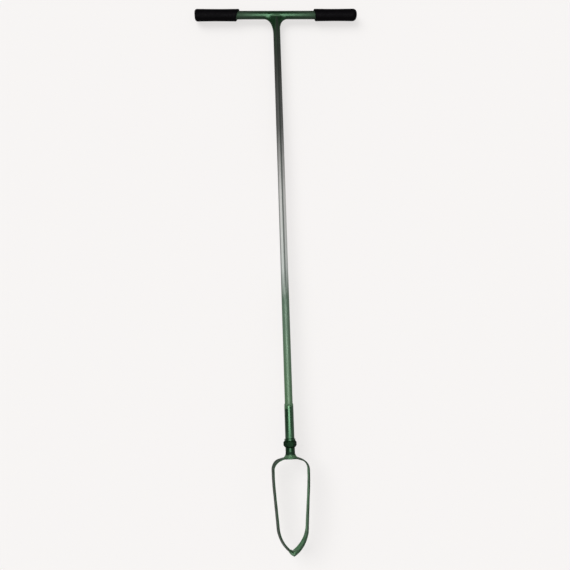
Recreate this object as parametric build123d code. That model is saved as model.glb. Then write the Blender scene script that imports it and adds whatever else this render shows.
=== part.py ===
from build123d import *
import os
from math import ceil, cos, radians, sin, tan

# Hand earth auger: a cross handle on a long shaft, with an open two-blade bit that
# screws into the foot of the shaft. Millimetres. The origin is the point of the bit,
# +Z runs up the shaft, X runs along the handle and -Y is the front.

# Handle
handle_width = 442.0
handle_height = 1383.5
bar_diameter = 21.3
bar_wall = 2.6

# Rubber grips, pushed on the bar and trimmed by hand at their inner ends
grip_diameter = 31.0
grip_waist = 30.0
grip_length = 116.0
grip_end_wall = 6.0
left_end_radius = 7.0
right_end_radius = 11.0
left_trim_angle = 20.0
right_trim_angle = 10.0

# Shaft
shaft_diameter = 19.0
shaft_wall = 2.0
tee_weld_radius = 18.0

# Threaded socket at the foot of the shaft
socket_diameter = 22.0
socket_length = 78.0
socket_chamfer = 1.0
spigot_length = 28.0
socket_weld_rise = 4.0

# Screwed coupling with a 5/8 inch thread
thread_diameter = 15.9
thread_engagement = 40.0
thread_clearance = 0.05
thread_chamfer = 1.2
thread_runout = 8.0
washer_diameter = 26.4
washer_thickness = 3.5
washer_clearance = 0.3
washer_split = 2.2
washer_split_angle = 25.0
nut_across_flats = 27.9
nut_height = 15.9
nut_chamfer_angle = 30.0

# Neck of the bit
neck_diameter = 22.6
neck_length = 24.0
neck_chamfer = 1.2
neck_floor = 4.0
neck_weld_rise = 9.0
neck_weld_spread = 12.0
neck_weld_edge = 0.6
neck_weld_margin = 0.8

# Blades: one twisted strip each, from the crown under the neck down to the point.
# Heights in this group count from where the middle lines of the strips cross.
bit_diameter = 88.0
bit_height = 213.5
blade_width = 22.0
blade_thickness = 3.2
crown_tilt = 4.8
tilt_run = 24.0
blade_twist = 19.5
twist_growth = 4
crown_half_flat = 16.0
crown_radius = 24.0
shoulder_drop = 9.0
shoulder_radius = 24.0
belly_width = 83.4
belly_drop = 56.8
belly_radius = 400.0
hip_width = 62.0
hip_height = 19.5
hip_radius = 71.0
point_width = 16.0
point_length = 38.0
cutting_edge = 0.8
top_bevel = 1.0
lip_bevel = 7.0
station_spacing = 4.0
tip_bead_radius = 4.0
tip_bead_length = 15.0
tip_bead_rise = 1.5


def blade_path():
    """The middle line of the right blade, from the crown to just past the crossing."""
    crown = bit_height - blade_thickness / 2
    side = bit_diameter / 2 - blade_thickness / 2
    hip = Vector(hip_width / 2, hip_height)
    corners = [
        (0, crown),
        (crown_half_flat, crown),
        (side, crown - shoulder_drop),
        (belly_width / 2, bit_height - belly_drop),
        hip,
        hip * (-point_width / hip.length),
    ]
    bends = [crown_radius, shoulder_radius, belly_radius, hip_radius]
    return Plane.XZ * FilletPolyline(corners, radius=bends)


def blade_section(path, distance):
    """The strip's section at one place: leading edge forward and outward, ground from inside."""
    past_crown = max(0, distance - crown_half_flat)
    along = past_crown / (path.length - crown_half_flat)
    origin = path.position_at(distance, PositionMode.LENGTH)
    tangent = path.tangent_at(distance, PositionMode.LENGTH)
    forward = Vector(0, -1, 0)
    outward = forward.cross(tangent)
    ramp = min(1, past_crown / tilt_run)
    leaning = crown_tilt * (1 - cos(radians(180 * ramp))) / 2
    tilt = radians(leaning + blade_twist * along ** twist_growth)
    leading = forward * cos(tilt) + outward * sin(tilt)
    narrowing = max(0, 1 - (path.length - distance) / point_length) ** 2
    half = (blade_width + (point_width - blade_width) * narrowing) / 2
    bevel = top_bevel + (lip_bevel - top_bevel) * along
    thick = blade_thickness / 2
    outline = Polyline(
        (-half, -thick),
        (half, -thick),
        (half, cutting_edge - thick),
        (half - bevel, thick),
        (-half, thick),
        close=True,
    )
    return Plane(origin=origin, x_dir=leading, z_dir=tangent) * make_face(outline)


def blade_strip():
    """The right blade, lofted along its line in short steps and cut off square at the point."""
    path = blade_path()
    places = [0]
    for run in path.edges():
        begin = places[-1]
        count = ceil(run.length / station_spacing)
        places += [begin + run.length * place / count for place in range(1, count + 1)]
    strip = loft([blade_section(path, place) for place in places], ruled=True)
    return split(strip, bisect_by=Plane.YZ, keep=Keep.TOP)


# Places that follow from the sizes above
strip = blade_strip()
crossing = -strip.bounding_box().min.Z
crown_top = crossing + bit_height
bar_radius = bar_diameter / 2
shaft_radius = shaft_diameter / 2
socket_radius = socket_diameter / 2
thread_radius = thread_diameter / 2
neck_radius = neck_diameter / 2
neck_top = crown_top + neck_length
nut_top = neck_top + nut_height
socket_bottom = nut_top + washer_thickness
socket_top = socket_bottom + socket_length
stud_top = socket_bottom + thread_engagement
bar_length = handle_width - 2 * grip_end_wall


def upright(radius, bottom, top):
    """A round bar on the axis of the shaft."""
    return Pos(0, 0, (bottom + top) / 2) * Cylinder(radius, top - bottom)


def crosswise(radius, length):
    """A round bar on the axis of the handle."""
    return Pos(0, 0, handle_height) * Rot(0, -90, 0) * Cylinder(radius, length)


def turned(outline):
    """A solid turned about the axis of the shaft from an outline of radii and heights."""
    return revolve(Plane.XZ * make_face(outline), Axis.Z)


def handle_bar():
    return crosswise(bar_radius, bar_length) - crosswise(bar_radius - bar_wall, bar_length)


def grip(end_radius, trim_angle):
    """The right-hand grip: a sleeve with a slight waist, a rounded closed end and a slanting cut."""
    rim = grip_diameter / 2
    outer_end = handle_width / 2
    inner_end = outer_end - grip_length
    uncut_end = inner_end - rim
    shoulder = outer_end - end_radius
    waist = ((inner_end + shoulder) / 2, grip_waist / 2)
    sleeve = Polyline((uncut_end, 0), (uncut_end, rim), waist, (shoulder, rim))
    end_corner = RadiusArc((shoulder, rim), (outer_end, rim - end_radius), end_radius)
    closed_end = Polyline((outer_end, rim - end_radius), (outer_end, 0), (uncut_end, 0))
    body = revolve(Plane.XZ * make_face([sleeve, end_corner, closed_end]), Axis.X)
    slant = radians(trim_angle)
    trim = Plane(origin=(inner_end, 0, 0), x_dir=(0, 1, 0), z_dir=(cos(slant), 0, sin(slant)))
    body = split(body, bisect_by=trim, keep=Keep.TOP)
    return Pos(0, 0, handle_height) * body - crosswise(bar_radius, bar_length)


def shaft_tube():
    tube = upright(shaft_radius, socket_top, handle_height)
    tube -= upright(shaft_radius - shaft_wall, socket_top, handle_height)
    return tube - crosswise(bar_radius, bar_length)


def tee_weld():
    """The fillet of weld all round the seam between the bar and the shaft."""
    reach = shaft_radius + 2 * tee_weld_radius
    bar = crosswise(bar_radius, 2 * reach)
    shaft = upright(shaft_radius, handle_height - bar_radius - reach, handle_height)
    joined = bar + shaft
    seam = new_edges(bar, shaft, combined=joined)
    return fillet(seam, tee_weld_radius) - bar - shaft


def thread_socket():
    body = upright(socket_radius, socket_bottom, socket_top)
    body = chamfer(body.edges().filter_by(GeomType.CIRCLE), socket_chamfer)
    body += upright(shaft_radius - shaft_wall, socket_top, socket_top + spigot_length)
    bore_radius = thread_radius + thread_clearance
    bore = Polyline(
        (0, socket_bottom),
        (bore_radius, socket_bottom),
        (bore_radius, stud_top + thread_runout),
        (0, stud_top + thread_runout + bore_radius / 2),
        close=True,
    )
    return body - turned(bore)


def socket_weld():
    """The ring of weld on the shoulder of the socket, round the shaft."""
    spread = socket_radius - socket_chamfer - shaft_radius
    foot = (shaft_radius + spread, socket_top)
    crest = (shaft_radius + spread * cos(radians(45)), socket_top + socket_weld_rise * sin(radians(45)))
    head = (shaft_radius, socket_top + socket_weld_rise)
    return turned([ThreePointArc(foot, crest, head), Polyline(head, (shaft_radius, socket_top), foot)])


def spring_washer():
    """A split ring, its gap cut on the slant at the right-hand side."""
    ring = upright(washer_diameter / 2, nut_top, socket_bottom)
    ring -= upright(thread_radius + washer_clearance, nut_top, socket_bottom)
    from_axis = (Align.MIN, Align.CENTER, Align.CENTER)
    gap = Box(washer_diameter, washer_split, 3 * washer_thickness, align=from_axis)
    return ring - Pos(0, 0, (nut_top + socket_bottom) / 2) * Rot(washer_split_angle, 0, 0) * gap


def lock_nut():
    """A hexagon with its corners turned off at both faces."""
    flat = nut_across_flats / 2
    corner = flat / cos(radians(30))
    fall = (corner - flat) * tan(radians(nut_chamfer_angle))
    hexagon = RegularPolygon(flat, 6, major_radius=False)
    envelope = Polyline(
        (0, neck_top),
        (flat, neck_top),
        (corner, neck_top + fall),
        (corner, nut_top - fall),
        (flat, nut_top),
        (0, nut_top),
        close=True,
    )
    nut = Pos(0, 0, neck_top) * extrude(hexagon, nut_height) & turned(envelope)
    return nut - upright(thread_radius, neck_top, nut_top)


def thread_stud():
    stud = upright(thread_radius, crown_top + neck_floor, stud_top)
    return chamfer(stud.edges().group_by(Axis.Z)[-1], thread_chamfer)


def bit_neck():
    """The neck, standing on the flat crown of the blades and bored for the stud."""
    neck = upright(neck_radius, crown_top, neck_top)
    neck = chamfer(neck.edges().group_by(Axis.Z)[-1], neck_chamfer)
    return neck - upright(thread_radius, crown_top + neck_floor, neck_top)


def neck_weld(blades):
    """The flared saddle of weld on each side of the neck, on the crown of the blades."""
    foot = neck_radius + neck_weld_spread
    slope = shoulder_drop / (bit_diameter / 2 - crown_half_flat)
    foot_top = crown_top - (foot - crown_half_flat) * slope
    sunk = blade_thickness / 2
    head = (neck_radius + neck_weld_edge, crown_top + neck_weld_rise)
    flare = RadiusArc(head, (foot, foot_top), neck_weld_rise + neck_weld_spread)
    rest = Polyline(
        (foot, foot_top),
        (foot, foot_top - sunk),
        (neck_radius, crown_top - sunk),
        (neck_radius, crown_top + neck_weld_rise),
        head,
    )
    ring = turned([flare, rest])
    half_width = blade_width / 2 - neck_weld_margin
    rounded = Pos(0, 0, crown_top) * Rot(0, 90, 0) * Cylinder(half_width, 4 * foot)
    pieces = ((ring & rounded) - blades).solids()
    return Part() + pieces.sort_by(SortBy.VOLUME)[-2:]


def tip_weld(blades):
    """The bead that lies in the bottom of the point, between the two blades."""
    bead = Rot(90, 0, 0) * Cylinder(tip_bead_radius, tip_bead_length)
    bead = fillet(bead.edges().filter_by(GeomType.CIRCLE), tip_bead_radius / 2)
    bead = Pos(0, 0, crossing + tip_bead_rise) * bead
    return (bead - blades).solids().sort_by(Axis.Z)[-1]


right_blade = Pos(0, 0, crossing) * strip
left_blade = Rot(0, 0, 180) * right_blade
blades = [left_blade, right_blade]

nodes = {
    "handle_bar": handle_bar(),
    "left_grip": mirror(grip(left_end_radius, left_trim_angle), Plane.YZ),
    "right_grip": grip(right_end_radius, right_trim_angle),
    "tee_weld": tee_weld(),
    "shaft_tube": shaft_tube(),
    "thread_socket": thread_socket(),
    "socket_weld": socket_weld(),
    "spring_washer": spring_washer(),
    "lock_nut": lock_nut(),
    "thread_stud": thread_stud(),
    "bit_neck": bit_neck(),
    "neck_weld": neck_weld(blades),
    "left_blade": left_blade,
    "right_blade": right_blade,
    "tip_weld": tip_weld(blades),
}

os.makedirs("parts", exist_ok=True)
for name, shape in nodes.items():
    export_step(shape, f"parts/{name}.step")
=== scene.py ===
from math import atan2, ceil, copysign, cos, hypot, pi, radians, sin, sqrt, tan

import bmesh
import bpy
from mathutils import Matrix, Vector, noise


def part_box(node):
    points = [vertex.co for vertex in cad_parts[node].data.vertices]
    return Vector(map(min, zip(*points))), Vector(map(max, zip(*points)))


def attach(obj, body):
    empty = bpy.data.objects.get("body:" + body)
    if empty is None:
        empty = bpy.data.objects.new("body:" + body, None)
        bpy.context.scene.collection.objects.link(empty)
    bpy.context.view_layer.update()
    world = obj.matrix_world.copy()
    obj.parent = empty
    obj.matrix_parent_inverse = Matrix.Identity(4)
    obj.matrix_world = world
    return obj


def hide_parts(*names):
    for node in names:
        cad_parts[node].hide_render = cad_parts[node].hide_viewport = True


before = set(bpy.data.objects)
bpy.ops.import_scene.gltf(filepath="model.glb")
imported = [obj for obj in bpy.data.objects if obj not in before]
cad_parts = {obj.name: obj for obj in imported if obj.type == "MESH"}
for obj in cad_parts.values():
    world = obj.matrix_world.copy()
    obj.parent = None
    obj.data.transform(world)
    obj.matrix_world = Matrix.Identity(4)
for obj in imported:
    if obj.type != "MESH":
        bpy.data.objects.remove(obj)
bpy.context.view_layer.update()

# Sizes in metres, the same as the part's
MM = 0.001
bar_radius = 10.65 * MM
bar_wall = 2.6 * MM
grip_radius = 15.5 * MM
grip_waist_depth = 0.5 * MM
grip_length = 116 * MM
grip_end_wall = 6 * MM
grip_end_round = {"left": 7 * MM, "right": 11 * MM}
grip_slant = {"left": radians(20), "right": radians(10)}
shaft_radius = 9.5 * MM
shaft_wall = 2 * MM
socket_radius = 11 * MM
spigot_length = 28 * MM
socket_weld_rise = 4 * MM
thread_radius = 7.95 * MM
thread_clearance = 0.05 * MM
thread_chamfer = 1.2 * MM
thread_runout = 8 * MM
washer_radius = 13.2 * MM
washer_clearance = 0.3 * MM
washer_split = 2.2 * MM
washer_split_angle = radians(25)
nut_flat = 13.95 * MM
neck_radius = 11.3 * MM
neck_chamfer = 1.2 * MM
neck_floor = 4 * MM

# The blades: heights count from where their middle lines cross, drops from the crown
bit_radius = 44 * MM
bit_height = 213.5 * MM
blade_width = 22 * MM
blade_thickness = 3.2 * MM
crown_tilt = radians(4.8)
tilt_run = 24 * MM
blade_twist = radians(19.5)
twist_growth = 4
crown_half_flat = 16 * MM
shoulder_drop = 9 * MM
belly_reach = 41.7 * MM
belly_drop = 56.8 * MM
hip = Vector((31, 19.5)) * MM
blade_bends = [24 * MM, 24 * MM, 400 * MM, 71 * MM]
point_width = 16 * MM
point_length = 38 * MM
cutting_edge = 0.8 * MM
top_bevel = 1 * MM
lip_bevel = 7 * MM

# Sizes of small forms that only this scene has, with the half width of the mould line as an angle
thread_pitch = 25.4 * MM / 11
thread_depth = 1.3 * MM
grip_lip = 2 * MM
mould_line_height = 0.25 * MM
mould_line_half = 0.05
left_blade_tilt = radians(6)
blade_edge_round = 0.35 * MM
edge_round = 0.5 * MM

# What is left open where a turned shape meets the axis
pinhole = 0.05 * thread_radius

# Heights on the axis of the shaft and the end of the handle, read from the parts in model.glb
handle_height = (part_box("handle_bar")[0].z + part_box("handle_bar")[1].z) / 2
handle_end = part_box("right_grip")[1].x
socket_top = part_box("socket_weld")[0].z
socket_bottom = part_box("thread_socket")[0].z
nut_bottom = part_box("lock_nut")[0].z
nut_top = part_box("lock_nut")[1].z
stud_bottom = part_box("thread_stud")[0].z
stud_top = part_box("thread_stud")[1].z
crown_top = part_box("bit_neck")[0].z
crossing = crown_top - bit_height


# Mesh tools

def skin(loops, joined=True, capped=False, poles=False):
    """Points and faces over loops of points.

    joined closes the row of loops, capped closes its ends. With poles the loops are open lines
    that run from one pole to the other, and each pole is closed.
    """
    count = len(loops[0])
    points = [point for loop in loops for point in loop]
    faces = []
    for row in range(len(loops) if joined else len(loops) - 1):
        here = row * count
        there = (row + 1) % len(loops) * count
        for place in range(count - 1 if poles else count):
            after = (place + 1) % count
            faces.append((here + place, here + after, there + after, there + place))
    if capped:
        faces.append(tuple(range(count)))
        faces.append(tuple(range(len(points) - count, len(points))))
    if poles:
        for pole in (0, count - 1):
            faces.append(tuple(range(pole, len(points), count)))
    return points, faces


def placed(mesh, work, finish, smooth_angle):
    """An object in the scene from worked faces, smooth apart from its sharp edges."""
    work.to_mesh(mesh)
    work.free()
    mesh.shade_smooth()
    mesh.set_sharp_from_angle(angle=radians(smooth_angle))
    mesh.materials.append(finish)
    made = bpy.data.objects.new(mesh.name, mesh)
    bpy.context.scene.collection.objects.link(made)
    return made


def piece(name, shape, body, slot, finish, *replaced, smooth_angle=40):
    """One object from points and faces, riding on a body in place of the named nodes."""
    mesh = bpy.data.meshes.new(name)
    mesh.from_pydata(shape[0], [], shape[1])
    work = bmesh.new()
    work.from_mesh(mesh)
    bmesh.ops.remove_doubles(work, verts=work.verts, dist=1e-6)
    bmesh.ops.recalc_face_normals(work, faces=work.faces)
    made = placed(mesh, work, finish, smooth_angle)
    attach(made, body)
    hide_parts(*replaced)


def curve(start, corner, end, share):
    """A place on the curve that leaves the start towards the corner and reaches the end from it."""
    return start.lerp(corner, share).lerp(corner.lerp(end, share), share)


def arc(middle, reach, start, end, steps):
    """Places round an ellipse from one angle to another, with its reach across and up."""
    places = []
    for step in range(steps + 1):
        angle = start + (end - start) * step / steps
        places.append((middle[0] + reach[0] * cos(angle), middle[1] + reach[1] * sin(angle)))
    return places


def rounded(corners, radius, steps=4, parts=1):
    """A closed outline with each corner eased by a short curve and each side cut into parts."""
    longest_share = 0.45
    points = [Vector(corner) for corner in corners]
    outline = []
    for place, corner in enumerate(points):
        following = points[(place + 1) % len(points)]
        before = points[place - 1] - corner
        after = following - corner
        start = corner + before.normalized() * min(radius, longest_share * before.length)
        ease = after.normalized() * min(radius, longest_share * after.length)
        outline += [curve(start, corner, corner + ease, step / steps) for step in range(steps + 1)]
        outline += [(corner + ease).lerp(following - ease, part / parts) for part in range(1, parts)]
    return outline


def divided(outline, spacing):
    """The same closed outline with its long sides cut into short ones."""
    points = []
    for place, corner in enumerate(outline):
        after = outline[(place + 1) % len(outline)]
        parts = max(1, ceil((after - corner).length / spacing))
        points += [corner.lerp(after, part / parts) for part in range(parts)]
    return points


def turned(section, segments=96, poles=False):
    """A ring about the axis of the shaft; section gives radii and heights at an angle."""
    loops = []
    for step in range(segments):
        angle = 2 * pi * step / segments
        loops.append([Vector((r * cos(angle), r * sin(angle), z)) for r, z in section(angle)])
    return skin(loops, poles=poles)


def unevenness(point, size, depth):
    """A smooth random height at a place in space."""
    return depth * noise.noise(Vector(point) / size)


# Material tools

# Places of the factor, the two inputs and the output among the sockets of a mix node
mix_sockets = {"RGBA": (0, 6, 7, 2), "FLOAT": (0, 2, 3, 0)}


def new_material(name):
    """A material with its nodes and its shader."""
    made = bpy.data.materials.new(name)
    made.use_nodes = True
    return made, made.node_tree, made.node_tree.nodes["Principled BSDF"]


def join(tree, value, target):
    """A link or a plain value into one socket."""
    if isinstance(value, bpy.types.NodeSocket):
        tree.links.new(value, target)
    else:
        target.default_value = value


def feed(tree, node, **inputs):
    """Links or plain values into a node's inputs, by their names with _ for a space."""
    for name, value in inputs.items():
        join(tree, value, node.inputs[name.replace("_", " ")])


def add(tree, kind, settings=None, **inputs):
    """A new node, with its settings and the values or links of its inputs."""
    made = tree.nodes.new(kind)
    for name, value in (settings or {}).items():
        setattr(made, name, value)
    feed(tree, made, **inputs)
    return made


def reckoned(tree, operation, *values):
    """The result of one sum on links or plain values."""
    made = add(tree, "ShaderNodeMath", {"operation": operation})
    for value, target in zip(values, made.inputs):
        join(tree, value, target)
    return made.outputs[0]


def times(tree, first, second):
    """One value times another."""
    return reckoned(tree, "MULTIPLY", first, second)


def between(tree, source, low, high, floor=0.0, top=1.0):
    """A value mapped from low..high to floor..top and held there."""
    limits = {"From_Min": low, "From_Max": high, "To_Min": floor, "To_Max": top}
    return add(tree, "ShaderNodeMapRange", Value=source, **limits).outputs["Result"]


def mixed(tree, factor, first, second, kind="RGBA"):
    """The second colour over the first, or the second value with kind FLOAT."""
    made = add(tree, "ShaderNodeMix", {"data_type": kind})
    *sources, result = mix_sockets[kind]
    for value, source in zip((factor, first, second), sources):
        join(tree, value, made.inputs[source])
    return made.outputs[result]


def place_on(tree):
    """The place on the object, in metres."""
    return add(tree, "ShaderNodeTexCoord").outputs["Object"]


def place_along(tree, axis):
    """The place on the object along one axis, in metres."""
    return add(tree, "ShaderNodeSeparateXYZ", Vector=place_on(tree)).outputs[axis]


def off_plane(tree, height, facing):
    """How far a place lies in front of a plane that crosses the axis of the shaft at a height."""
    moved = add(tree, "ShaderNodeMapping", Vector=place_on(tree), Location=(0, 0, -height))
    made = add(tree, "ShaderNodeVectorMath", {"operation": "DOT_PRODUCT"})
    for value, target in zip((moved.outputs["Vector"], facing), made.inputs):
        join(tree, value, target)
    return made.outputs["Value"]


def mottle(tree, scale, detail=4.0, stretch=(1, 1, 1)):
    """Noise fixed to the object, from 0 to 1."""
    mapped = add(tree, "ShaderNodeMapping", Vector=place_on(tree), Scale=stretch).outputs["Vector"]
    return add(tree, "ShaderNodeTexNoise", Vector=mapped, Scale=scale, Detail=detail).outputs["Fac"]


def raised(tree, shader, height, distance):
    """Fine relief on a surface, in metres."""
    relief = add(tree, "ShaderNodeBump", Height=height, Distance=distance, Strength=1.0)
    feed(tree, shader, Normal=relief.outputs["Normal"])


def rgb(red, green, blue):
    """A colour written as 0 to 255 on a screen, as the shader's linear values."""
    def linear(value):
        share = value / 255
        return share / 12.92 if share <= 0.04045 else ((share + 0.055) / 1.055) ** 2.4
    return (linear(red), linear(green), linear(blue), 1)


# Finishes

deep_green = rgb(3, 24, 8)
thin_green = rgb(9, 36, 15)
paint_relief = 0.03 * MM


def enamel(name, deep, thin, wear=0.35, gloss=0.3, smoothest=0.2):
    """Brushed-on paint with a green sheen: uneven in tone, thin and rubbed on the edges."""
    made, tree, shader = new_material(name)
    patches = between(tree, mottle(tree, 60, 6), 0.35, 0.7)
    tone = mixed(tree, patches, deep, thin)
    edges = between(tree, add(tree, "ShaderNodeNewGeometry").outputs["Pointiness"], 0.53, 0.62)
    chips = between(tree, mottle(tree, 220, 3), 0.45, 0.6, 0.0, wear)
    paint = mixed(tree, times(tree, edges, chips), tone, rgb(150, 160, 148))
    roughness = between(tree, mottle(tree, 140, 5), 0.3, 0.7, smoothest, smoothest + 0.12)
    feed(tree, shader, Base_Color=paint, Roughness=roughness)
    feed(tree, shader, Specular_Tint=(0.5, 1.0, 0.6, 1), Specular_IOR_Level=gloss)
    raised(tree, shader, mottle(tree, 420, 3), paint_relief)
    return made


def laid_over(made, share, name, value, kind):
    """A finish with another value over one of its inputs, by a share that its own nodes give."""
    tree = made.node_tree
    target = tree.nodes["Principled BSDF"].inputs[name]
    under = target.links[0].from_socket
    tree.links.new(mixed(tree, share, under, value, kind), target)
    return made


def overpainted(made, share, colour):
    """A finish with another colour over a share of it."""
    return laid_over(made, share, "Base Color", colour, "RGBA")


def dulled(made, share, roughness):
    """A finish with another roughness over a share of it."""
    return laid_over(made, share, "Roughness", roughness, "FLOAT")


def bar_finish(name):
    """The handle's paint, handled down to dull grey towards the grips."""
    clean_end = 20 * MM
    grey_start = 105 * MM
    made = enamel(name, rgb(5, 26, 9), rgb(12, 38, 17), wear=0.5, gloss=0.26)
    tree = made.node_tree
    from_shaft = reckoned(tree, "ABSOLUTE", place_along(tree, "X"))
    handled = between(tree, from_shaft, clean_end, grey_start, 0.0, 0.8)
    return dulled(overpainted(made, handled, rgb(36, 40, 35)), handled, 0.8)


def tee_finish():
    """The bar's paint on the weld, with a pale band across the front of the joint that is a painted
    highlight.
    """
    facing = (0, -0.59, 0.81)
    highlight_edge = 2.6 * MM
    highlight_full = 1.6 * MM
    highlight_end = 16 * MM
    highlight_end_full = 10 * MM
    made = bar_finish("tee_enamel")
    tree = made.node_tree
    upward = off_plane(tree, handle_height, facing)
    lower_edge = between(tree, upward, -highlight_edge, -highlight_full)
    upper_edge = between(tree, upward, highlight_edge, highlight_full)
    from_shaft = reckoned(tree, "ABSOLUTE", place_along(tree, "X"))
    ends = between(tree, from_shaft, highlight_end, highlight_end_full)
    # Painted highlight: a pale band where the bar's gloss stripe would cross the joint.
    painted_highlight = times(tree, times(tree, lower_edge, upper_edge), ends)
    return overpainted(made, painted_highlight, rgb(72, 102, 76))


def socket_finish():
    """The socket's paint: it stops short of the top along a slanting line and dulls towards the foot."""
    paint_end = socket_top - 5 * MM
    facing = (-0.4, 0, 1)
    fade_half = 0.8 * MM
    rub_start = socket_top - 40 * MM
    made = enamel("socket_enamel", deep_green, thin_green, gloss=0.4)
    tree = made.node_tree
    bare = between(tree, off_plane(tree, paint_end, facing), -fade_half, fade_half)
    rubbed = between(tree, place_along(tree, "Z"), rub_start, socket_bottom)
    return dulled(overpainted(made, bare, rgb(58, 84, 58)), rubbed, 0.5)


def neck_finish():
    """The neck's paint, with a dark matt band above the weld that is painted shade."""
    shade_end = crown_top + 15 * MM
    shade_full = crown_top + 13 * MM
    made = enamel("neck_enamel", deep_green, thin_green, gloss=0.15)
    tree = made.node_tree
    # Painted shade: a dark band where the undercut above the weld lies in shadow.
    painted_shade = between(tree, place_along(tree, "Z"), shade_end, shade_full)
    return dulled(overpainted(made, painted_shade, rgb(2, 15, 5)), painted_shade, 0.75)


def weld_finish(name):
    """Thin pale paint on a weld."""
    return enamel(name, rgb(60, 88, 62), rgb(88, 114, 90), wear=0.6, gloss=0.15, smoothest=0.4)


def saddle_finish():
    """The paint of the weld under the neck, darkened round its upper edge by painted shade."""
    shade_start = crown_top + 5 * MM
    shade_full = crown_top + 7.5 * MM
    made = weld_finish("saddle_enamel")
    tree = made.node_tree
    # Painted shade: the weld is darkened along its top where it meets the neck.
    painted_shade = between(tree, place_along(tree, "Z"), shade_start, shade_full)
    return overpainted(made, painted_shade, rgb(3, 22, 7))


def shaft_finish():
    """The same paint, pale grey over the middle, with two dark lines of painted shade down its front. The
    pale grey is partly paint rubbed to grey steel and partly a painted reflection.

    Places across count in radii of the shaft, places along in shares of its length from the foot.
    """
    # Where the two dark lines of painted shade lie across the shaft and along it, and how dark they are.
    shade_line_middle = 0.08
    shade_line_half = 0.3
    side_shade_start = -0.62
    side_shade_full = -0.82
    shade_lines_start = 0.22
    shade_lines_full = 0.3
    shade_tone = 0.15
    # Tones along the shaft: the pale grey middle and the charcoal above it are partly paint worn to grey
    # steel and partly a painted reflection of the lights.
    stops = (
        (0.00, rgb(70, 102, 70)),
        (0.25, rgb(80, 104, 86)),
        (0.318, rgb(190, 195, 192)),
        (0.52, rgb(200, 200, 198)),
        (0.68, rgb(86, 85, 85)),
        (0.86, rgb(34, 33, 31)),
        (0.96, rgb(4, 38, 10)),
    )
    made, tree, shader = new_material("shaft_paint")
    along = between(tree, place_along(tree, "Z"), socket_top, handle_height)
    ragged = between(tree, mottle(tree, 18, 6, (3, 3, 0.35)), 0.2, 0.8, -0.025, 0.025)
    ramp = add(tree, "ShaderNodeValToRGB", Fac=reckoned(tree, "ADD", along, ragged))
    while len(ramp.color_ramp.elements) < len(stops):
        ramp.color_ramp.elements.new(0.5)
    for element, (position, colour) in zip(ramp.color_ramp.elements, stops):
        element.position = position
        element.color = colour
    tone = ramp.outputs["Color"]
    across = reckoned(tree, "DIVIDE", place_along(tree, "X"), shaft_radius)
    shade_line_start = between(tree, across, shade_line_middle - shade_line_half, shade_line_middle - shade_line_half / 2)
    shade_line_end = between(tree, across, shade_line_middle + shade_line_half, shade_line_middle + shade_line_half / 2)
    side_shade = between(tree, across, side_shade_start, side_shade_full, 0.0, 0.75)
    lines = reckoned(tree, "MAXIMUM", times(tree, shade_line_start, shade_line_end), side_shade)
    in_front = between(tree, place_along(tree, "Y"), 0.0, -shaft_radius / 4)
    on_steel = between(tree, along, shade_lines_start, shade_lines_full)
    # The dark lines are painted shade, standing in for dark reflections down the front of the tube.
    painted_shade_lines = times(tree, times(tree, lines, in_front), on_steel)
    dark = add(tree, "ShaderNodeHueSaturation", Color=tone, Value=shade_tone).outputs["Color"]
    streaks = between(tree, mottle(tree, 90, 5, (1, 1, 0.06)), 0.35, 0.75, 0.0, 0.25)
    paint = mixed(tree, streaks, mixed(tree, painted_shade_lines, tone, dark), rgb(48, 56, 48))
    roughness = between(tree, mottle(tree, 120, 4, (1, 1, 0.2)), 0.3, 0.7, 0.42, 0.55)
    feed(tree, shader, Base_Color=paint, Roughness=roughness)
    feed(tree, shader, Specular_Tint=(0.85, 1.0, 0.88, 1), Specular_IOR_Level=0.25)
    raised(tree, shader, mottle(tree, 420, 3), paint_relief)
    return made


def blade_finish():
    """Green paint kept inside the bit, dark and stained outside, ground to steel on the cutting edge."""
    made, tree, shader = new_material("blade_paint")
    patches = between(tree, mottle(tree, 45, 6), 0.35, 0.68)
    kept = mixed(tree, patches, rgb(34, 76, 44), rgb(82, 122, 88))
    rubbed = mixed(tree, patches, rgb(3, 28, 8), rgb(18, 48, 25))
    inner = add(tree, "ShaderNodeAttribute", {"attribute_name": "inner"}).outputs["Fac"]
    paint = mixed(tree, inner, rubbed, kept)
    stains = between(tree, mottle(tree, 32, 5, (1, 1, 1.6)), 0.56, 0.74, 0.0, 0.55)
    stained = mixed(tree, stains, paint, rgb(56, 50, 47))
    ground = add(tree, "ShaderNodeAttribute", {"attribute_name": "ground"}).outputs["Fac"]
    ragged = between(tree, mottle(tree, 160, 4), 0.3, 0.62)
    bare = times(tree, ground, ragged)
    roughness = between(tree, mottle(tree, 150, 4), 0.3, 0.7, 0.36, 0.55)
    feed(tree, shader, Base_Color=mixed(tree, bare, stained, rgb(62, 80, 66)), Roughness=roughness)
    feed(tree, shader, Metallic=times(tree, bare, 0.45), Specular_IOR_Level=0.06)
    raised(tree, shader, mottle(tree, 300, 5), 0.08 * MM)
    return made


def steel_finish():
    """Machined steel with a film of oil and darker stains."""
    made, tree, shader = new_material("machined_steel")
    stains = between(tree, mottle(tree, 130, 6), 0.45, 0.75)
    tone = mixed(tree, stains, rgb(176, 176, 172), rgb(116, 112, 106))
    roughness = between(tree, mottle(tree, 300, 4), 0.3, 0.7, 0.25, 0.45)
    feed(tree, shader, Base_Color=tone, Roughness=roughness, Metallic=1.0)
    raised(tree, shader, mottle(tree, 900, 2), 0.02 * MM)
    return made


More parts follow.
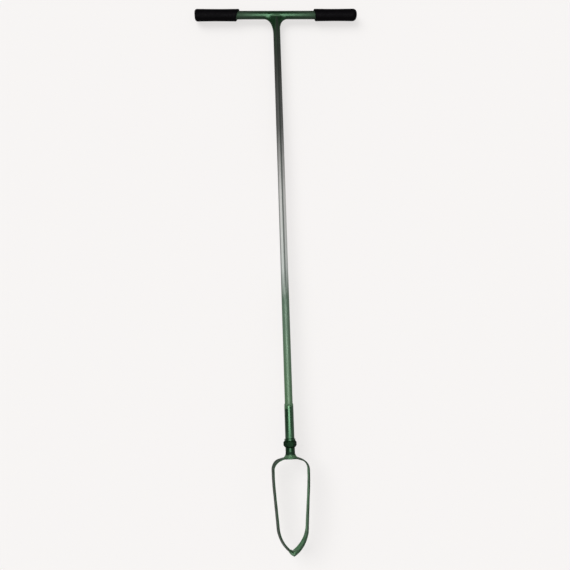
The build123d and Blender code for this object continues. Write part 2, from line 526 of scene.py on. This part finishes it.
def rubber_finish():
    """Matt moulded rubber, a little dusty in the grain."""
    made, tree, shader = new_material("black_rubber")
    dust = between(tree, mottle(tree, 90, 6), 0.5, 0.8, 0.0, 0.6)
    tone = mixed(tree, dust, rgb(3, 2, 4), rgb(11, 9, 12))
    roughness = between(tree, mottle(tree, 200, 4), 0.3, 0.7, 0.55, 0.75)
    feed(tree, shader, Base_Color=tone, Roughness=roughness, Specular_IOR_Level=0.02)
    raised(tree, shader, mottle(tree, 1100, 3), 0.12 * MM)
    return made


green = enamel("green_enamel", deep_green, thin_green)
bar_green = bar_finish("bar_enamel")
tee_green = tee_finish()
socket_green = socket_finish()
neck_green = neck_finish()
nut_green = enamel("nut_enamel", rgb(2, 18, 4), rgb(8, 30, 12), gloss=0.05, smoothest=0.55)
weld_green = weld_finish("weld_enamel")
saddle_green = saddle_finish()
shaft_paint = shaft_finish()
blade_paint = blade_finish()
steel = steel_finish()
rubber = rubber_finish()


# Handle

def bar_underside(y):
    """The height of the bar's lower face at a distance in front of its axis or behind it."""
    return handle_height - sqrt(bar_radius ** 2 - y ** 2)


def crosswise(outline, segments=96, shift=None):
    """Loops about the axis of the handle from places along X and radii, shifted along X if asked."""
    loops = []
    for step in range(segments):
        angle = 2 * pi * step / segments
        loop = []
        for along, radius in outline:
            point = Vector((along, radius * cos(angle), radius * sin(angle)))
            point.x += shift(along, point) if shift else 0
            loop.append(point + Vector((0, 0, handle_height)))
        loops.append(loop)
    return loops


def handle_bar():
    """The cross tube, which ends inside the grips."""
    half = handle_end - grip_end_wall
    inside = bar_radius - bar_wall
    corners = [(-half, bar_radius), (half, bar_radius), (half, inside), (-half, inside)]
    outline = divided(rounded(corners, edge_round), 6 * MM)
    shape = skin(crosswise(outline))
    piece("handle_tube", shape, "handle_and_shaft", "green_enamel", bar_green, "handle_bar")


def grip(side):
    """A push-on grip: waisted, closed at its end, cut off on the slant and marked by a mould line."""
    sign = 1 if side == "right" else -1
    end_round = grip_end_round[side]
    inner = handle_end - grip_length
    lip_end = inner + grip_lip
    floor = handle_end - grip_end_wall
    shoulder = handle_end - end_round
    half_wall = (grip_radius - bar_radius) / 2
    slanted_length = 0.35 * grip_length
    outside_radius = 1.1 * bar_radius
    centre = 0.04 * grip_radius
    rows = 40
    profile = [(floor, centre), (floor, bar_radius)]
    profile += arc((lip_end, bar_radius + half_wall), (grip_lip, half_wall), 1.5 * pi, 0.5 * pi, 8)
    for row in range(1, rows):
        share = row / rows
        waist = grip_waist_depth * sin(pi * share)
        profile.append((lip_end + (shoulder - lip_end) * share, grip_radius - waist))
    profile += arc((shoulder, grip_radius - end_round), (end_round, end_round), 0.5 * pi, 0, 10)
    profile.append((handle_end, centre))

    def shear(along, point):
        fade = max(0, 1 - (along - inner) / slanted_length)
        return -point.z * tan(grip_slant[side]) * fade ** 2

    loops = []
    for loop in crosswise(profile, 128, shear):
        moulded_loop = []
        for point in loop:
            off_axis = point - Vector((point.x, 0, handle_height))
            relief = 0
            if off_axis.length > outside_radius:
                from_line = abs(abs(atan2(off_axis.z, off_axis.y)) - pi / 2)
                relief = mould_line_height * max(0, 1 - from_line / mould_line_half)
                relief += unevenness(point, 30 * MM, 0.12 * MM)
            grown = off_axis * (1 + relief / off_axis.length)
            moulded_loop.append(Vector((sign * point.x, grown.y, handle_height + grown.z)))
        loops.append(moulded_loop)
    shape = skin(loops, poles=True)
    piece(f"{side}_rubber_grip", shape, "handle_and_shaft", "black_rubber", rubber, f"{side}_grip")


def weld_face(start, corner, end, bulge, steps):
    """A hollow line from the start to the end of a weld, swollen by the bulge in its middle."""
    shares = [step / steps for step in range(steps + 1)]
    return [curve(start, corner, end, share) + bulge * sin(pi * share) for share in shares]


def tee_weld():
    """The fillet of weld under the bar: long on both sides of the shaft, short in front and behind."""
    right_legs = (34 * MM, 26 * MM)
    left_legs = (50 * MM, 29 * MM)
    leg_growth = 1.3
    front_drop = 4.5 * MM
    front_leg = 0.75 * MM
    front_reach = 0.97 * min(bar_radius, shaft_radius + front_leg)
    sunk = 0.6 * MM
    ripples = 34
    ripple_height = 0.1 * MM
    segments = 160
    loops = []
    for step in range(segments):
        angle = 2 * pi * step / segments
        leg_down, leg_out = right_legs if cos(angle) >= 0 else left_legs
        down = front_drop + (leg_down - front_drop) * abs(cos(angle)) ** leg_growth
        x, y = shaft_radius * cos(angle), shaft_radius * sin(angle)
        far_x, far_y = (shaft_radius + leg_out) * cos(angle), front_reach * sin(angle)
        seam = Vector((x, y, bar_underside(y)))
        low = seam - Vector((0, 0, down))
        far = Vector((far_x, far_y, bar_underside(far_y)))
        away = Vector((cos(angle), sin(angle), -1)).normalized()
        lump = abs(unevenness((x, y, 0), 6 * MM, 0.2 * MM))
        ripple = ripple_height * (1 + sin(angle * ripples)) + lump
        face = weld_face(low, seam, far, away * ripple, 20)
        inside = Vector((cos(angle), sin(angle), 0)) * sunk
        above = Vector((0, 0, sunk))
        loops.append(face + [far + above - inside, seam + above - inside, low - inside])
    shape = skin(loops)
    piece(
        "tee_weld_fillet", shape, "handle_and_shaft", "green_enamel", tee_green, "tee_weld", smooth_angle=60
    )


# Shaft and screwed coupling

def shaft_tube():
    """The long tube, its top cut to the round of the bar."""
    inside = shaft_radius - shaft_wall
    top = handle_height - bar_radius
    near_top = top - 1 * MM
    corners = [(shaft_radius, socket_top), (shaft_radius, top), (inside, top), (inside, socket_top)]
    outline = divided([Vector(corner) for corner in corners], 12 * MM)

    def section(angle):
        return [(r, bar_underside(r * sin(angle)) if z > near_top else z) for r, z in outline]

    shape = turned(section)
    piece("shaft_pipe", shape, "handle_and_shaft", "green_enamel", shaft_paint, "shaft_tube")


def thread_wave(angle, height):
    """How deep the thread's groove is at a place, for a right-hand screw: 0 on the crest."""
    flank_slope = 3.1
    flank_end = 1.25
    phase = (height / thread_pitch - angle / (2 * pi)) % 1
    return thread_depth * min(1, max(0, flank_end - flank_slope * abs(phase - 0.5)))


def socket():
    """The tapped socket with its spigot up in the shaft."""
    ease = 1.5 * MM
    mouth_length = 1.5 * MM
    bore = thread_radius + thread_clearance
    bore_top = stud_top + thread_runout
    spigot = shaft_radius - shaft_wall
    spigot_top = socket_top + spigot_length
    thread_length = stud_top - socket_bottom
    rows = ceil(thread_length / thread_pitch * 8)
    shell = [(pinhole, bore_top + thread_radius / 2), (pinhole, spigot_top)]
    shell += [(spigot, spigot_top), (spigot, socket_top)]
    shell += arc((socket_radius - ease, socket_top - ease), (ease, ease), pi / 2, 0, 4)
    shell += arc((socket_radius - ease, socket_bottom + ease), (ease, ease), 0, -pi / 2, 4)

    def section(angle):
        thread = []
        for row in range(rows + 1):
            up = thread_length * row / rows
            cut = 1 - max(0, 1 - up / mouth_length)
            height = socket_bottom + up
            thread.append((bore - thread_wave(angle, height) * cut, height))
        return shell + thread + [(bore, bore_top)]

    shape = turned(section)
    piece("tapped_socket", shape, "handle_and_shaft", "green_enamel", socket_green, "thread_socket")


def socket_weld():
    """The ring of weld on the socket's shoulder, in small overlapping ripples."""
    spread = socket_radius - shaft_radius
    inside = shaft_radius - 0.3 * MM
    sunk = 0.2 * MM
    ripples = 26

    def section(angle):
        lump = unevenness((cos(angle), sin(angle), 3), 0.4, 0.12)
        ripple = 1 + 0.10 * sin(angle * ripples) + lump
        rise = socket_weld_rise * ripple
        face = arc((shaft_radius, socket_top), (spread * min(1, ripple), rise), 0, pi / 2, 8)
        return [(inside, socket_top - sunk)] + face + [(inside, socket_top + rise)]

    shape = turned(section, 208)
    piece("socket_weld_ring", shape, "handle_and_shaft", "green_enamel", weld_green, "socket_weld")


def spring_washer():
    """A square-wire ring with a slanting split."""
    bore = thread_radius + washer_clearance
    corners = [
        (bore, nut_top),
        (washer_radius, nut_top),
        (washer_radius, socket_bottom),
        (bore, socket_bottom),
    ]
    outline = rounded(corners, 0.4 * MM)
    half_split = washer_split / 2 / washer_radius
    middle = (nut_top + socket_bottom) / 2
    steps = 120
    loops = []
    for step in range(steps + 1):
        share = step / steps
        end_pull = abs(2 * share - 1) ** 12
        loop = []
        for r, z in outline:
            lean = tan(washer_split_angle) * (z - middle) / washer_radius
            angle = half_split + (2 * pi - 2 * half_split) * share - lean * end_pull
            loop.append(Vector((r * cos(angle), r * sin(angle), z)))
        loops.append(loop)
    shape = skin(loops, joined=False, capped=True)
    piece("split_washer", shape, "lock_washer", "green_enamel", green, "spring_washer")


def lock_nut():
    """A hexagon nut, its corners turned off at both faces."""
    chamfer_slope = tan(radians(54))
    chamfer_start = 0.9 * nut_flat
    ease = 0.35 * MM
    corner_reach = nut_flat / cos(pi / 6) - ease

    def section(angle):
        from_flat = angle % (pi / 3) - pi / 6
        reach = min(nut_flat / cos(from_flat), corner_reach)
        fall = (reach - chamfer_start) * chamfer_slope
        corners = [
            (thread_radius, nut_bottom),
            (chamfer_start, nut_bottom),
            (reach, nut_bottom + fall),
            (reach, nut_top - fall),
            (chamfer_start, nut_top),
            (thread_radius, nut_top),
        ]
        return rounded(corners, ease)

    shape = turned(section, 192)
    piece("hexagon_nut", shape, "auger_bit", "green_enamel", nut_green, "lock_nut", smooth_angle=25)


def thread_stud():
    """The stud, with a right-hand thread from the nut to its end."""
    thread_length = stud_top - nut_bottom
    rows = ceil(thread_length / thread_pitch * 10)

    def section(angle):
        outline = [(pinhole, stud_bottom), (thread_radius, stud_bottom)]
        for row in range(rows + 1):
            height = nut_bottom + thread_length * row / rows
            end_taper = max(0, thread_chamfer - (stud_top - height))
            outline.append((thread_radius - max(thread_wave(angle, height), end_taper), height))
        return outline + [(pinhole, stud_top)]

    shape = turned(section, 72, poles=True)
    piece("threaded_stud", shape, "auger_bit", "bright_steel", steel, "thread_stud", smooth_angle=60)


# Bit

def bent_line(corners, bends, spacing):
    """Places and directions along straight runs joined by arcs, as (distance, point, direction)."""
    nodes = [corners[0]]
    for before, corner, after, radius in zip(corners, corners[1:], corners[2:], bends):
        incoming = (corner - before).normalized()
        outgoing = (after - corner).normalized()
        turn = incoming.angle_signed(outgoing)
        reach = radius * tan(abs(turn) / 2)
        steps = max(4, ceil(radius * abs(turn) / spacing))
        start = corner - incoming * reach
        for step in range(steps + 1):
            swing = -turn * step / steps
            chord = 2 * radius * sin(abs(swing) / 2)
            nodes.append(start + Matrix.Rotation(swing / 2, 2) @ incoming * chord)
    nodes.append(corners[-1])
    places = []
    for before, after in zip(nodes, nodes[1:]):
        steps = max(1, ceil((after - before).length / spacing))
        places += [before.lerp(after, step / steps) for step in range(steps)]
    places.append(nodes[-1])
    line = []
    distance = 0
    for place, point in enumerate(places):
        ahead = places[min(place + 1, len(places) - 1)] - places[max(place - 1, 0)]
        line.append((distance, point, ahead.normalized()))
        if place + 1 < len(places):
            distance += (places[place + 1] - point).length
    return line


def blade_line():
    """The middle line of the right blade, from the crown to just past the crossing."""
    crown = bit_height - blade_thickness / 2
    side = bit_radius - blade_thickness / 2
    corners = [
        Vector((0, crown)),
        Vector((crown_half_flat, crown)),
        Vector((side, crown - shoulder_drop)),
        Vector((belly_reach, bit_height - belly_drop)),
        hip,
        hip * (-point_width / hip.length),
    ]
    return bent_line(corners, blade_bends, 2 * MM)


def strap_top(across):
    """The height of the strap's upper face at a distance from the axis, near the crown."""
    place = next(place for place in blade_line() if place[1].x >= across)
    return crossing + place[1].y + blade_thickness / 2 / place[2].x


def blade_loops(more_tilt):
    """Sections of a blade in the right blade's place, to past the crossing, with marks for its finish.

    more_tilt is added at the shoulder and fades out towards the point.
    """
    ground_margin = 0.6 * MM
    ground_fade = 0.8 * MM
    line = blade_line()
    twisted_length = line[-1][0] - crown_half_flat
    thick = blade_thickness / 2
    loops = []
    marks = {"ground": [], "inner": []}
    for distance, point, ahead in line:
        past_crown = max(0, distance - crown_half_flat)
        along = past_crown / twisted_length
        origin = Vector((point.x, 0, point.y + crossing))
        tangent = Vector((ahead.x, 0, ahead.y))
        forward = Vector((0, -1, 0))
        outward = forward.cross(tangent)
        ramp = min(1, past_crown / tilt_run)
        shoulder_tilt = crown_tilt + more_tilt * (1 - min(1, along) ** 2)
        tilt = shoulder_tilt * (1 - cos(pi * ramp)) / 2 + blade_twist * along ** twist_growth
        leading = forward * cos(tilt) + outward * sin(tilt)
        inward = tangent.cross(leading)
        narrowing = max(0, 1 - (twisted_length - past_crown) / point_length) ** 2
        half = (blade_width + (point_width - blade_width) * narrowing) / 2
        bevel = top_bevel + (lip_bevel - top_bevel) * along
        corners = [
            (-half, -thick),
            (half, -thick),
            (half, cutting_edge - thick),
            (half - bevel, thick),
            (-half, thick),
        ]
        loop = []
        for across, inside in rounded(corners, blade_edge_round, steps=3, parts=7):
            place = origin + leading * across + inward * inside
            loop.append(place + inward * unevenness(place, 14 * MM, 0.22 * MM))
            on_bevel = max(0, min(1, (across - half + bevel + ground_margin) / ground_fade))
            marks["ground"].append(on_bevel * min(1, 2 * along) if inside > -thick * 0.9 else 0)
            marks["inner"].append(1 if inside > thick * 0.5 else 0)
        loops.append(loop)
    return loops, marks


def blade(side):
    """One blade, cut off square in the middle of the bit, with its faces marked for the finish."""
    loops, marks = blade_loops(left_blade_tilt if side == "left" else 0)
    half_turn = Matrix.Rotation(pi if side == "left" else 0, 4, "Z")
    points, faces = skin(loops, joined=False, capped=True)
    mesh = bpy.data.meshes.new(f"{side}_blade_strip")
    mesh.from_pydata(points, [], faces)
    for mark, values in marks.items():
        mesh.attributes.new(mark, "FLOAT", "POINT").data.foreach_set("value", values)
    work = bmesh.new()
    work.from_mesh(mesh)
    everything = work.verts[:] + work.edges[:] + work.faces[:]
    bmesh.ops.bisect_plane(work, geom=everything, plane_co=(0, 0, 0), plane_no=(-1, 0, 0), clear_outer=True)
    open_edges = [edge for edge in work.edges if edge.is_boundary]
    bmesh.ops.holes_fill(work, edges=open_edges, sides=0)
    bmesh.ops.recalc_face_normals(work, faces=work.faces)
    work.transform(half_turn)
    made = placed(mesh, work, blade_paint, 50)
    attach(made, "auger_bit")
    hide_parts(f"{side}_blade")


def neck():
    """The turned neck that carries the stud, chamfered at its shoulder."""
    foot = crown_top - 0.4 * MM
    floor = crown_top + neck_floor
    corners = [
        (pinhole, foot),
        (neck_radius, foot),
        (neck_radius, nut_bottom - neck_chamfer),
        (neck_radius - neck_chamfer, nut_bottom),
        (thread_radius, nut_bottom),
        (thread_radius, floor),
        (pinhole, floor),
    ]
    outline = rounded(corners, edge_round)
    shape = turned(lambda angle: outline)
    piece("turned_neck", shape, "auger_bit", "green_enamel", neck_green, "bit_neck")


def neck_weld():
    """The saddle of weld round the foot of the neck, drawn out along the crown of the blades."""
    side_rise = 11 * MM
    side_spread = 16 * MM
    front_rise = 8 * MM
    side_growth = 1.5
    sunk = 0.8 * MM
    inset = 1.2 * MM
    lap = 1 * MM
    ripples = 30
    ripple_height = 0.15 * MM
    segments = 160
    loops = []
    for step in range(segments):
        angle = 2 * pi * step / segments
        sideways = abs(cos(angle)) ** side_growth
        rise = front_rise + (side_rise - front_rise) * sideways
        foot_x = (neck_radius + side_spread * sideways) * cos(angle)
        foot_y = (neck_radius + lap) * sin(angle)
        x, y = neck_radius * cos(angle), neck_radius * sin(angle)
        over_edge = max(0, min(1, (abs(foot_y) - blade_width / 2 + lap) / lap))
        foot_drop = sunk + (blade_thickness - 2 * sunk) * over_edge
        foot = Vector((foot_x, foot_y, strap_top(abs(foot_x)) - foot_drop))
        high = Vector((x, y, crown_top + rise))
        corner = Vector((x, y, crown_top - sunk / 2))
        away = Vector((cos(angle), sin(angle), 0.6)).normalized()
        lump = abs(unevenness((x, y, 1), 6 * MM, 0.3 * MM))
        ripple = ripple_height * (1.6 + sin(angle * ripples)) + lump
        face = weld_face(high, corner, foot, away * ripple, 16)
        inside = Vector((cos(angle), sin(angle), 0)) * inset
        below = inside + Vector((0, 0, sunk))
        loops.append(face + [foot - below, corner - below, high - inside])
    shape = skin(loops)
    piece(
        "neck_weld_saddle", shape, "auger_bit", "green_enamel", saddle_green, "neck_weld", smooth_angle=60
    )


def tip_weld():
    """The weld that fills the point: a lumpy bead, bent up along both blades and tapered at its ends."""
    reach = 11 * MM
    depth = 7.6 * MM
    height = 5.9 * MM
    rise = 0.5 * MM
    bend = 2 * MM
    slope = 0.9 * hip.y / hip.x
    squareness = 0.6
    end_swell = 0.04
    mean_size = 0.95
    lump_share = 0.05
    ripple_share = 0.015
    ripple_rate = 30
    steps = 40
    segments = 48
    loops = []
    for step in range(steps + 1):
        share = 2 * step / steps - 1
        along = share * reach
        swell = max(end_swell, 1 - share ** 2)
        centre = Vector((along, 0, crossing + rise + slope * (hypot(along, bend) - bend)))
        loop = []
        for part in range(segments):
            angle = 2 * pi * part / segments
            across = copysign(abs(cos(angle)) ** squareness, cos(angle))
            up = copysign(abs(sin(angle)) ** squareness, sin(angle))
            out = Vector((0, depth * swell ** 0.5 * across, height * swell ** 0.4 * up))
            lump = unevenness(centre + out, 4 * MM, lump_share)
            ripple = ripple_share * sin(share * ripple_rate)
            loop.append(centre + out * (mean_size + lump + ripple))
        loops.append(loop)
    shape = skin(loops, joined=False, capped=True)
    piece("tip_weld_bead", shape, "auger_bit", "worn_enamel", weld_green, "tip_weld", smooth_angle=60)


handle_bar()
grip("left")
grip("right")
tee_weld()
shaft_tube()
socket()
socket_weld()
spring_washer()
lock_nut()
thread_stud()
neck()
neck_weld()
blade("left")
blade("right")
tip_weld()


# Backdrop, light and camera

gap_at_handle = 20 * MM
gap_at_bit = 51 * MM
backdrop_width = 9.0
backdrop_height = 9.0
backdrop_colour = rgb(247, 245, 244)
backdrop_glow = rgb(249, 247, 246)
sky_strength = 0.5


def layered(tree, share, under, over):
    """One shader over another."""
    made = add(tree, "ShaderNodeMixShader")
    for value, target in zip((share, under, over), made.inputs):
        join(tree, value, target)
    return made.outputs[0]


def backdrop():
    """A pale wall behind the tool, leaning towards the handle, that shows from the front only."""
    even_share = 0.7
    half = backdrop_width / 2
    corners = []
    for across, share in ((-half, -0.5), (half, -0.5), (half, 0.5), (-half, 0.5)):
        height = handle_height / 2 + backdrop_height * share
        gap = gap_at_bit + (gap_at_handle - gap_at_bit) * height / handle_height
        corners.append((across, gap, height))
    mesh = bpy.data.meshes.new("backdrop")
    mesh.from_pydata(corners, [], [(0, 1, 2, 3)])
    made, tree, shader = new_material("pale_wall")
    feed(tree, shader, Base_Color=backdrop_colour, Roughness=1.0, Specular_IOR_Level=0.0)
    glow = add(tree, "ShaderNodeEmission", Color=backdrop_glow, Strength=1.0)
    ray = add(tree, "ShaderNodeLightPath")
    seen = ray.outputs["Is Camera Ray"]
    for kind in ("Is Glossy Ray", "Is Transmission Ray"):
        seen = reckoned(tree, "MAXIMUM", seen, ray.outputs[kind])
    paper = layered(tree, times(tree, seen, even_share), shader.outputs[0], glow.outputs[0])
    clear = add(tree, "ShaderNodeBsdfTransparent")
    behind = add(tree, "ShaderNodeNewGeometry").outputs["Backfacing"]
    both = layered(tree, behind, paper, clear.outputs[0])
    feed(tree, tree.nodes["Material Output"], Surface=both)
    wall = bpy.data.objects.new("backdrop", mesh)
    mesh.materials.append(made)
    bpy.context.scene.collection.objects.link(wall)


def sky(strength):
    """Even pale light from all round."""
    world = bpy.data.worlds.new("studio")
    bpy.context.scene.world = world
    world.use_nodes = True
    background = world.node_tree.nodes["Background"]
    feed(world.node_tree, background, Color=backdrop_colour, Strength=strength)


def lamp(name, kind, place, target, energy, **settings):
    """A light at a place, aimed at a target."""
    light = bpy.data.lights.new(name, kind)
    light.energy = energy
    for key, value in settings.items():
        setattr(light, key, value)
    made = bpy.data.objects.new(name, light)
    made.location = place
    made.rotation_euler = (Vector(target) - Vector(place)).to_track_quat("-Z", "Y").to_euler()
    bpy.context.scene.collection.objects.link(made)
    return made


def panel(name, place, energy, width, height):
    """An upright panel of light, aimed level at the axis, that lights reflections only."""
    target = (0, 0, place[2])
    made = lamp(name, "AREA", place, target, energy, shape="RECTANGLE", size=width, size_y=height)
    made.visible_diffuse = False


def sun():
    """Soft light from the upper left, which lights no reflections."""
    made = lamp("key", "SUN", (-0.75, -1.2, 0.65), (0, 0, 0), 2.07, angle=radians(45))
    made.visible_glossy = False


def camera():
    """The photograph's view: close by, low down, a little to the left and turned on its axis."""
    place = Vector((-63.0, -1355.6, 404)) * MM
    yaw, pitch, roll = radians(2.67), radians(9.67), radians(-1.85)
    ahead = Vector((sin(yaw) * cos(pitch), cos(yaw) * cos(pitch), sin(pitch)))
    level = Vector((cos(yaw), -sin(yaw), 0))
    upward = level.cross(ahead)
    right = level * cos(roll) + upward * sin(roll)
    top = upward * cos(roll) - level * sin(roll)
    photo_width = 570
    focal_pixels = 550
    data = bpy.data.cameras.new("camera")
    data.sensor_width = 36
    data.lens = data.sensor_width * focal_pixels / photo_width
    made = bpy.data.objects.new("camera", data)
    made.matrix_world = Matrix((right, top, -ahead)).transposed().to_4x4()
    made.location = place
    bpy.context.scene.collection.objects.link(made)
    bpy.context.scene.camera = made


backdrop()
sky(sky_strength)
panel("strip", (-0.1, -2.2, -0.45), energy=270, width=1.6, height=3.3)
panel("side", (2.2, -0.9, 0.2), energy=16, width=1.6, height=3.0)
sun()
camera()
bpy.context.scene.view_settings.view_transform = "Standard"
